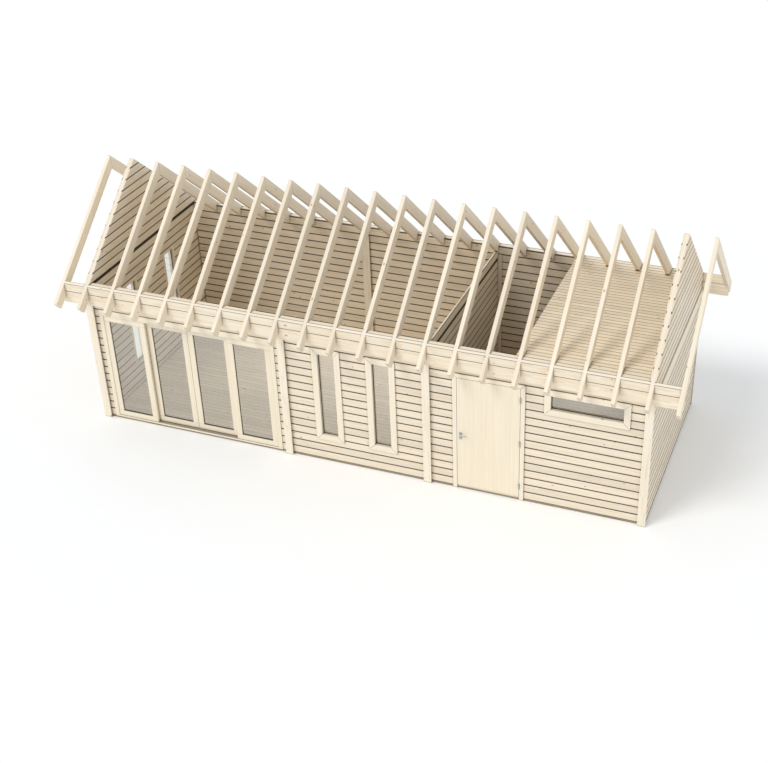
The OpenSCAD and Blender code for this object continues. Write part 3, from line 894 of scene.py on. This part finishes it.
@dataclass
class TimberShell:
    """Log walls, gables, roof timbers, joinery and boards that keep their solid's shape.

    A field whose name ends in line holds half the width of a drawn joint's line of painted shade
    and the share of the light that it takes.
    """

    nodes: dict[str, Piece]
    log_height: float = 141 * MM
    log_courses: int = 17
    courses_below: int = 30  # enough to reach past the lowest log
    open_joint: float = 42 * MM
    right_logs_above: int = 3
    wall_thickness: float = 90 * MM
    plate_height: float = 72 * MM
    rafter_step: float = 500 * MM
    glass_in: float = 10 * MM
    sill: float = 30 * MM
    slider_head: float = 105 * MM
    door_head: float = 73 * MM
    cover_from: float = -4800 * MM
    cover_step: float = 250 * MM  # one cover board at most in each such length
    # Lines of painted shade in the tight joints and inside corners between parts.
    plate_line: Line = (3 * MM, 0.5)
    top_line: Line = (11 * MM, 0.9)
    corner_line: Line = (12 * MM, 0.85)
    ridge_line: Line = (4 * MM, 0.7)
    block_line: Line = (7 * MM, 0.75)
    beam_line: Line = (10 * MM, 0.85)
    rail_line: Line = (2.5 * MM, 0.6)
    logs: PlanedSpruce = PlanedSpruce(joint_shade=0.95, joint_half=16 * MM)
    roof: PlanedSpruce = PlanedSpruce("roof_spruce", "#F6EDDB", "#DEC49D")
    boards: PlanedSpruce = PlanedSpruce("cover_spruce", "#F8F0DF", "#E6CFA8", tone=0.06, knots=0.25)
    joinery: PlanedSpruce = PlanedSpruce(
        "sanded_pine", "#F6ECD8", "#E6CFA9", knots=0.0, ring=5 * MM, figure=0.4, tone=0.05,
        roughness=0.42)
    base: PlanedSpruce = PlanedSpruce(
        "treated_pine", "#A99C84", "#83745B", knot="#574632", roughness=0.75)

    def long_courses(self) -> Split:
        """Return the courses of the long walls; the top log is taller."""
        return Split("Z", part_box("back_wall")[0].z, self.log_height, self.log_courses)

    def cross_courses(self, node: str, logs_above: int) -> Split:
        """Return the courses of a cross wall, with its open joint under some whole logs.

        Args:
            node: The cross wall.
            logs_above: Whole logs above its open joint.

        Returns:
            The courses.
        """
        open_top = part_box(node)[1].z - logs_above * self.log_height
        first = open_top - self.open_joint - self.courses_below * self.log_height
        return Split("Z", first, self.log_height, jump_at=open_top - self.open_joint / 2,
                     jump=self.open_joint)

    def put(
        self, names: Iterable[str], finish: PlanedSpruce, grain: Grain, split: Split | None = None,
        seams: Sequence[Seam] = (),
    ) -> None:
        """Dress CAD nodes with one wood finish, each with its own grain.

        Args:
            names: The nodes.
            finish: Their wood finish.
            grain: Way the grain runs.
            split: How each divides into logs or boards.
            seams: Tight joints across each.
        """
        for name in names:
            dress(self.nodes[name], finish.material(name, grain, split, centre_of(name), seams))

    def put_boards(self, names: Iterable[str], finish: PlanedSpruce) -> None:
        """Dress the boards round openings, the grain along each and a line at each mitre.

        Args:
            names: The nodes.
            finish: Their wood finish.
        """
        grains = (Grain.ALONG_X, Grain.ALONG_Y, Grain.ALONG_Z)
        for name in names:
            mesh = self.nodes[name].data
            mesh.materials.clear()
            for ring in rings_of(solids_of(self.nodes[name])):
                low = Vector(map(min, zip(*(board.low for board in ring))))
                high = Vector(map(max, zip(*(board.high for board in ring))))
                across = "X" if high.x - low.x > high.y - low.y else "Y"
                side = "XY".index(across)
                mitre = Mitre(across, (low[side], low.z), (high[side], high.z), len(ring) == 4)
                for board in ring:
                    grain, middle = grains[board.long_axis()], (board.low + board.high) / 2
                    number = len(mesh.materials)
                    mesh.materials.append(
                        finish.material(f"{name}_{number}", grain, None, middle, [mitre]))
                    for i in board.faces:
                        mesh.polygons[i].material_index = number

    def put_framed(
        self, names: Iterable[str], finish: PlanedSpruce, low_rail: float, high_rail: float
    ) -> None:
        """Dress frames of stiles and rails, with a fine joint line over each stile.

        Args:
            names: The nodes.
            finish: Their wood finish.
            low_rail: Height of the bottom rail.
            high_rail: Height of the top rail.
        """
        for name in names:
            low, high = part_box(name)
            levels = (low.z + low_rail, high.z - high_rail)
            seams = [Seam("Z", level, *self.rail_line) for level in levels]
            dress(self.nodes[name], finish.material(
                name, Grain.ALONG_Z, None, centre_of(name), seams, levels))

    def build(self) -> None:
        """Dress every timber node."""
        self.build_walls()
        self.build_roof()
        self.build_joinery()
        LOG.info("timber nodes dressed")

    def build_walls(self) -> None:
        """Dress the base, the log walls and the gables."""
        wall_top, y_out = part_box("back_wall")[1].z, -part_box("front_wall_head")[0].y
        seams = [Seam("Z", wall_top - self.plate_height, *self.plate_line)]
        seams += [Seam("Y", y, *self.top_line, UP, True)
                  for y in (y_out - self.wall_thickness, y_out)]
        corner = Seam("X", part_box("left_end_wall")[1].x, *self.corner_line, FRONT)
        fronts = ["front_wall_left", "front_wall_middle", "front_wall_right", "front_wall_head"]
        self.put(fronts, self.logs, Grain.ALONG_X, self.long_courses(), seams)
        self.put(["back_wall"], self.logs, Grain.ALONG_X, self.long_courses(), [*seams, corner])
        self.put(["cross_wall_stubs"], self.logs, Grain.ALONG_Y, self.long_courses())
        for name, above in (("left_end_wall", 0), ("right_end_wall", self.right_logs_above),
                            ("partition_wall", 1)):
            self.put([name], self.logs, Grain.ALONG_Y, self.cross_courses(name, above))
        self.put(["left_gable", "right_gable"], self.logs, Grain.ALONG_Y,
                 Split("Z", wall_top, self.log_height))
        self.put(["floor_joists"], self.base, Grain.ALONG_Y)
        self.put(["base_frame"], self.base, Grain.ALONG_X)

    def build_roof(self) -> None:
        """Dress the rafters, the eave beams with their blocks and the loft joists."""
        rafters = Split("X", 0.0, self.rafter_step)
        for name, grain in (("front_rafters", Grain.FRONT_SLOPE),
                            ("back_rafters", Grain.BACK_SLOPE), ("end_rafters", Grain.BOTH_SLOPES)):
            self.put([name], self.roof, grain, rafters, [Seam("Y", 0.0, *self.ridge_line)])
        beam_top, y_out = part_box("eave_beams")[1], -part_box("front_wall_head")[0].y
        self.put(["eave_beams", "eave_blocks"], self.roof, Grain.ALONG_X, None, [
            Seam("Z", beam_top.z, *self.block_line), Seam("Y", y_out, *self.top_line, UP, True),
            Seam("Y", beam_top.y, *self.beam_line, UP, True)])
        self.put(["loft_joists"], self.roof, Grain.ALONG_Y)

    def build_joinery(self) -> None:
        """Dress the cover boards, casings, frames, panels and the door leaf."""
        self.put(["outer_cover_boards", "inner_cover_boards"], self.boards, Grain.ALONG_Z,
                 Split("X", self.cover_from, self.cover_step))
        self.put(["belt_boards"], self.boards, Grain.ALONG_Y)
        self.put_boards(["window_casings", "door_casing"], self.boards)
        glass, (low, high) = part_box("fixed_panel_glass"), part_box("fixed_panels")
        self.put_framed(["fixed_panels", "left_sliding_panel", "right_sliding_panel"], self.joinery,
                        glass[0].z + self.glass_in - low.z, high.z - glass[1].z + self.glass_in)
        self.put_framed(["slider_frame"], self.joinery, self.sill, self.slider_head)
        self.put_framed(["door_frame"], self.joinery, self.sill, self.door_head)
        self.put(["window_frames", "door_leaf"], self.joinery, Grain.ALONG_Z)


@dataclass
class GlassAndSteel:
    """Panes, hinges and rails that keep their solid's shape."""

    nodes: dict[str, Piece]
    panes: tuple[str, ...] = (
        "window_glass", "fixed_panel_glass", "left_sliding_glass", "right_sliding_glass")
    metal: tuple[str, ...] = ("frame_hinges", "leaf_hinges", "slider_rails")

    def build(self) -> None:
        """Dress every pane and metal node."""
        for names, finish in ((self.panes, FloatGlass()), (self.metal, SatinSteel())):
            material = finish.material()
            for name in names:
                dress(self.nodes[name], material)
        LOG.info("glass and steel nodes dressed")


@dataclass
class BoardedDeck:
    """Boards laid side by side along X, eased at their edges and cut round what stands in them."""

    name: str
    node: str
    rows: int
    gap: float = 2 * MM
    eased: float = 3 * MM
    narrowest: float = 5 * MM
    finish: PlanedSpruce = PlanedSpruce(
        "loft_spruce", "#F4E9D2", "#DABA8B", joint_shade=0.85, joint_half=9 * MM)

    def obstacles(self) -> list[Rect]:
        """Return what the boards are cut round, as x0, x1, y0 and y1."""
        return []

    @staticmethod
    def outside(x0: float, x1: float, y: float) -> list[Rect]:
        """Return the strips from x0 to x1 that lie further out than y, front and back."""
        return [(x0, x1, -FAR, -y), (x0, x1, y, FAR)]

    def rects(self, row: Rect) -> list[Rect]:
        """Return the pieces of one board, given as x0, x1, y0 and y1.

        Args:
            row: The whole board.

        Returns:
            What is left of it beside the obstacles.
        """
        x0, x1, y0, y1 = row
        touching = [
            o for o in self.obstacles() if o[2] < y1 and o[3] > y0 and o[0] < x1 and o[1] > x0]
        cuts = sorted({x0, x1, *(min(max(x, x0), x1) for o in touching for x in o[:2])})
        pieces = []
        for a, b in zip(cuts, cuts[1:]):
            here = [o for o in touching if o[0] < (a + b) / 2 < o[1]]
            low = max([y0] + [o[3] for o in here if o[2] <= y0])
            high = min([y1] + [o[2] for o in here if o[3] >= y1])
            if high - low < self.narrowest:
                continue
            if pieces and pieces[-1][1] == a and pieces[-1][2:] == (low, high):
                a = pieces.pop()[0]
            pieces.append((a, b, low, high))
        return pieces

    def build(self) -> None:
        """Lay the boards, each size modelled once and copied, and join them."""
        low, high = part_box(self.node)
        width = (high.y - low.y) / self.rows
        places: dict[tuple[float, float], list[Triple]] = {}
        for i in range(self.rows):
            y0 = low.y + i * width
            for x0, x1, a, b in self.rects((low.x, high.x, y0, y0 + width)):
                size = (round(x1 - x0, 6), round(b - a - self.gap, 6))
                places.setdefault(size, []).append((x0, a + self.gap / 2, low.z))
        made = []
        for (length, breadth), spots in places.items():
            board = block("board", (0, 0, 0), (length, breadth, high.z - low.z), self.eased)
            made += copies(board, spots)
        split = Split("Y", low.y, width)
        material = self.finish.material(self.name, Grain.ALONG_X, split, (low + high) / 2)
        finish_piece(self.name, made, "cabin", "deck_boards", material, self.node)


@dataclass
class LoftDeck(BoardedDeck):
    """Loft boards, notched at both sides of each rafter."""

    name: str = "loft_boards"
    node: str = "loft_deck"
    rows: int = 37
    rafter_step: float = 500 * MM
    rafter_width: float = 60 * MM
    rafter_gap: float = 4 * MM
    rafter_reach: float = 1549 * MM

    def obstacles(self) -> list[Rect]:
        """Return the places where rafters pass the boards.

        Returns:
            The rectangles to keep clear.
        """
        low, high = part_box(self.node)
        half = self.rafter_width / 2 + self.rafter_gap
        first = math.floor(low.x / self.rafter_step)
        found = []
        for i in range(first, math.ceil(high.x / self.rafter_step) + 1):
            x = (i + 0.5) * self.rafter_step
            found += self.outside(x - half, x + half, self.rafter_reach)
        return found


@dataclass
class FloorDeck(BoardedDeck):
    """Floor boards of both rooms, cut round the partition, cover boards and sliding front."""

    name: str = "floor_boards"
    node: str = "floor_deck"
    rows: int = 37
    stub_cover: float = 145 * MM
    stub_face: float = 1665 * MM
    finish: PlanedSpruce = PlanedSpruce(
        "floor_spruce", "#F4E9D2", "#DABA8B", joint_shade=0.4, joint_half=6 * MM)
    batten: float = 70 * MM
    batten_face: float = 1690 * MM
    clearance: float = 1 * MM

    def obstacles(self) -> list[Rect]:
        """Return the partition, the boards on the stub walls and battens, and the front frame.

        Returns:
            The rectangles to keep clear.
        """
        c = self.clearance
        part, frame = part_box("partition_wall"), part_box("slider_frame")
        stub = centre_of("cross_wall_stubs").x
        half = self.stub_cover / 2 + c
        return [
            (part[0].x - c, part[1].x + c, -FAR, FAR),
            (frame[0].x - c, frame[1].x + c, -FAR, frame[1].y + c),
            *self.outside(stub - half, stub + half, self.stub_face - c),
            *self.outside(part[0].x - self.batten - c, part[1].x + self.batten + c,
                          self.batten_face - c),
        ]


@dataclass
class Glazing:
    """Rubber seals round every pane, on both of its faces."""

    nodes: dict[str, Piece]
    glass_in: float = 10 * MM
    seal_width: float = 7 * MM
    seal_depth: float = 4 * MM
    seal_ease: float = 1 * MM

    def seals(self, low: Vector, high: Vector) -> list[Piece]:
        """Make one seal on each face of a pane.

        Args:
            low: The pane's lowest corner.
            high: The pane's highest corner.

        Returns:
            Both seals.
        """
        axis = min(range(3), key=lambda i: high[i] - low[i])
        inner = Vector(0.0 if i == axis else self.glass_in for i in range(3))
        made = []
        for way, face in ((-1, low[axis]), (1, high[axis])):
            a, b = low + inner, high - inner
            a[axis], b[axis] = sorted((face, face + way * self.seal_depth))
            made.append(hollow_bar("seal", a, b, axis, self.seal_width, self.seal_ease))
        return made

    def build(self) -> None:
        """Make the seals of each body's panes."""
        rubber = SealRubber().material()
        for node, body, name in (
            ("window_glass", "cabin", "window_seals"),
            ("fixed_panel_glass", "cabin", "fixed_panel_seals"),
            ("left_sliding_glass", "left_panel", "left_panel_seals"),
            ("right_sliding_glass", "right_panel", "right_panel_seals"),
        ):
            sizes: dict[tuple[float, ...], list[Solid]] = {}
            for pane in solids_of(self.nodes[node]):
                sizes.setdefault(tuple(round(c, 4) for c in pane.high - pane.low), []).append(pane)
            made = []
            for panes in sizes.values():
                moves = [pane.low - panes[0].low for pane in panes]
                for seal in self.seals(panes[0].low, panes[0].high):
                    made += copies(seal, moves)
            finish_piece(name, made, body, "joinery", rubber)


@dataclass
class SettlingStrips:
    """Dark felt strips that close the open settling joints; their darkness is partly painted shade
    for the joint.
    """

    height: float = 40 * MM
    depth: float = 4 * MM
    joint_height: float = 42 * MM
    joint_depth: float = 10 * MM
    log_height: float = 141 * MM
    half_run: float = 1709 * MM
    eased: float = 1 * MM

    def strip(self, x: float, top: float) -> Piece:
        """Make one strip in a joint under the level top.

        Args:
            x: Its lowest X.
            top: Level of the log above the joint.

        Returns:
            The strip.
        """
        low = top - (self.joint_height + self.height) / 2
        return block("strip", (x, -self.half_run, low),
                     (x + self.depth, self.half_run, low + self.height), self.eased)

    def build(self) -> None:
        """Lay the strips of the left end wall and the partition."""
        left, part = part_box("left_end_wall"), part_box("partition_wall")
        level = part[1].z - self.log_height
        strips = [self.strip(left[1].x - self.joint_depth, left[1].z),
                  self.strip(part[1].x - self.joint_depth, level),
                  self.strip(part[0].x + self.joint_depth - self.depth, level)]
        # Felt darkened partly as painted shade, standing in for the shade in the open joint.
        felt = SealRubber("joint_shade_felt", "#3B342C", 0.95).material()
        finish_piece("settling_strips", strips, "cabin", "base_timber", felt)


@dataclass
class ScrewRows:
    """Countersunk screw heads in the outer cover boards."""

    nodes: dict[str, Piece]
    radius: float = 5 * MM
    proud: float = 0.8 * MM
    rim: float = 0.4 * MM
    sides: int = 12
    drive_in: float = 2.6 * MM
    drive_depth: float = 0.6 * MM
    edge: float = 26 * MM
    end: float = 90 * MM
    pitch: float = 540 * MM

    def head(self) -> Piece:
        """Model one screw head at the origin, facing -Y, with its square drive.

        Returns:
            The screw head.
        """
        head = disc("screw", self.radius, 2 * self.proud, self.sides, self.rim)
        edit_faces(head, lambda face: face.normal.y < -SQUARE_ON)
        bpy.ops.mesh.inset(thickness=self.drive_in, depth=-self.drive_depth)
        bpy.ops.object.mode_set(mode="OBJECT")
        return head

    def build(self) -> None:
        """Set two screws at even heights in each outer cover board, front and back."""
        places: dict[bool, list[Triple]] = {True: [], False: []}
        for board in solids_of(self.nodes["outer_cover_boards"]):
            low, high = board.low, board.high
            front, run = low.y < 0, high.z - low.z
            rows = round(run / self.pitch)
            for i in range(rows + 1):
                z = low.z + self.end + i * (run - 2 * self.end) / rows
                places[front] += [(x, low.y if front else high.y, z)
                                  for x in (low.x + self.edge, high.x - self.edge)]
        screws = copies(self.head(), places[True])
        head = self.head()
        edit_faces(head)
        bpy.ops.transform.rotate(value=math.pi, orient_axis="Z", center_override=(0, 0, 0))
        bpy.ops.object.mode_set(mode="OBJECT")
        screws += copies(head, places[False])
        steel = SatinSteel().material()
        finish_piece("cover_board_screws", screws, "cabin", "satin_steel", steel)


@dataclass
class DoorFurniture:
    """Lever handles on round roses, with a lock below, one set on each face of the leaf."""

    rose_radius: float = 26 * MM
    rose_depth: float = 8 * MM
    rose_rim: float = 2 * MM
    rose_sides: int = 40
    sides: int = 24
    neck_radius: float = 8 * MM
    neck_rim: float = 1 * MM
    lock_radius: float = 8 * MM
    lock_proud: float = 3 * MM
    lock_rim: float = 0.6 * MM
    lock_drop: float = 75 * MM
    lever_length: float = 121 * MM
    lever_width: float = 18 * MM
    lever_depth: float = 13 * MM
    lever_ease: float = 5 * MM
    lever_steps: int = 3
    smooth_under: float = math.radians(35)

    def lever(self) -> Piece:
        """Model the lever round the origin, where its neck stands.

        Returns:
            The lever, its edges rounded.
        """
        half, depth = self.lever_width / 2, self.lever_depth / 2
        lever = block("lever", (-half, -depth, -half), (self.lever_length - half, depth, half))
        ease(lever, self.lever_ease, self.lever_steps)
        return lever

    def build(self) -> None:
        """Model one of each part and set it on both faces, in place of the plain handle."""
        low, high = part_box("door_handle")
        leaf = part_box("door_leaf")
        x, z = low.x + self.rose_radius, high.z - self.rose_radius
        lock_z, reach = z - self.lock_drop, leaf[0].y - low.y
        neck = reach - self.lever_depth / 2
        rose = disc("rose", self.rose_radius, self.rose_depth, self.rose_sides, self.rose_rim)
        parts = (
            (rose, self.rose_depth / 2, (z, lock_z)),
            (disc("lock", self.lock_radius, self.lock_proud, self.sides, self.lock_rim),
             self.rose_depth + self.lock_proud / 2, (lock_z,)),
            (disc("neck", self.neck_radius, neck, self.sides, self.neck_rim), neck / 2, (z,)),
            (self.lever(), neck, (z,)),
        )
        pieces = []
        for model, out, levels in parts:
            pieces += copies(model, [(x, y, level) for y in (leaf[0].y - out, leaf[1].y + out)
                                     for level in levels])
        steel = SatinSteel().material()
        only(finish_piece("lever_handles", pieces, "door", "satin_steel", steel, "door_handle"))
        bpy.ops.object.shade_smooth_by_angle(angle=self.smooth_under)


# ---------------------------------------------------------------- stage


@dataclass
class Studio:
    """Pale floor, soft light and the camera."""

    ground: float
    position: Triple = (7.580, -17.897, 12.689)
    turn: Triple = (57.877, 1.324, 20.829)
    lens: float = 61.84
    sensor: float = 36.0
    shift: tuple[float, float] = (-0.05, 0.0048)
    clip_end: float = 500.0
    floor_half: float = 150.0
    floor_colour: str = "#FFFFFE"
    floor_roughness: float = 0.9
    sky: Colour = (0.93, 0.96, 1.0, 1.0)
    sky_strength: float = 0.76
    sun: Triple = (1.0, 0.985, 0.96)
    sun_strength: float = 1.2
    sun_angle: float = math.radians(24)
    sun_way: Triple = (0.45, 0.62, -0.9)

    def camera(self) -> None:
        """Place the camera."""
        data = bpy.data.cameras.new("camera")
        data.lens, data.sensor_width, data.clip_end = self.lens, self.sensor, self.clip_end
        data.shift_x, data.shift_y = self.shift
        camera = bpy.data.objects.new("camera", data)
        camera.location = self.position
        camera.rotation_euler = [math.radians(a) for a in self.turn]
        bpy.context.scene.collection.objects.link(camera)
        bpy.context.scene.camera = camera

    def floor(self) -> None:
        """Lay the plain floor at the cabin's foot."""
        bpy.ops.object.select_all(action="DESELECT")
        bpy.ops.mesh.primitive_plane_add(size=2 * self.floor_half, location=(0, 0, self.ground))
        floor = settle("floor")
        material, tree = new_material("pale_floor")
        shade_surface(tree, {
            "Base Color": linear(self.floor_colour), "Roughness": self.floor_roughness})
        dress(floor, material)
        floor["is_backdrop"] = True

    def light(self) -> None:
        """Set the sky, which the camera, metal and glass see as white, and one soft sun."""
        world = bpy.data.worlds.new("sky")
        bpy.context.scene.world = world
        world.use_nodes = True
        tree = world.node_tree
        tree.nodes.clear()
        path = add_node(tree, "LightPath")
        seen = path["Is Camera Ray"]
        for ray in ("Is Glossy Ray", "Is Transmission Ray"):
            seen = add_node(tree, "Math", (seen, path[ray]), operation="MAXIMUM")[0]
        dim = add_node(tree, "Background", {"Color": self.sky, "Strength": self.sky_strength})
        white = add_node(tree, "Background", {"Color": (1.0, 1.0, 1.0, 1.0), "Strength": 1.0})
        mix = add_node(tree, "MixShader", (seen, dim[0], white[0]))
        add_node(tree, "OutputWorld", {"Surface": mix[0]})
        lamp = bpy.data.lights.new("sun", "SUN")
        lamp.energy, lamp.angle, lamp.color = self.sun_strength, self.sun_angle, self.sun
        sun = bpy.data.objects.new("sun", lamp)
        sun.rotation_euler = Vector(self.sun_way).to_track_quat("-Z", "Y").to_euler()
        bpy.context.scene.collection.objects.link(sun)

    def build(self) -> None:
        """Set the stage."""
        self.camera()
        self.floor()
        self.light()
        bpy.context.scene.view_settings.view_transform = "Standard"
        LOG.info("stage set")


def main() -> None:
    """Dress the cabin, add its fine pieces and set the stage."""
    logging.basicConfig(level=logging.INFO, format="%(message)s")
    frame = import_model()
    cad_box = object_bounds()
    nodes = frame["nodes"]
    TimberShell(nodes).build()
    GlassAndSteel(nodes).build()
    FloorDeck().build()
    LoftDeck().build()
    Glazing(nodes).build()
    SettlingStrips().build()
    DoorFurniture().build()
    ScrewRows(nodes).build()
    Studio(cad_box[0][2]).build()


if __name__ == "__main__":
    main()
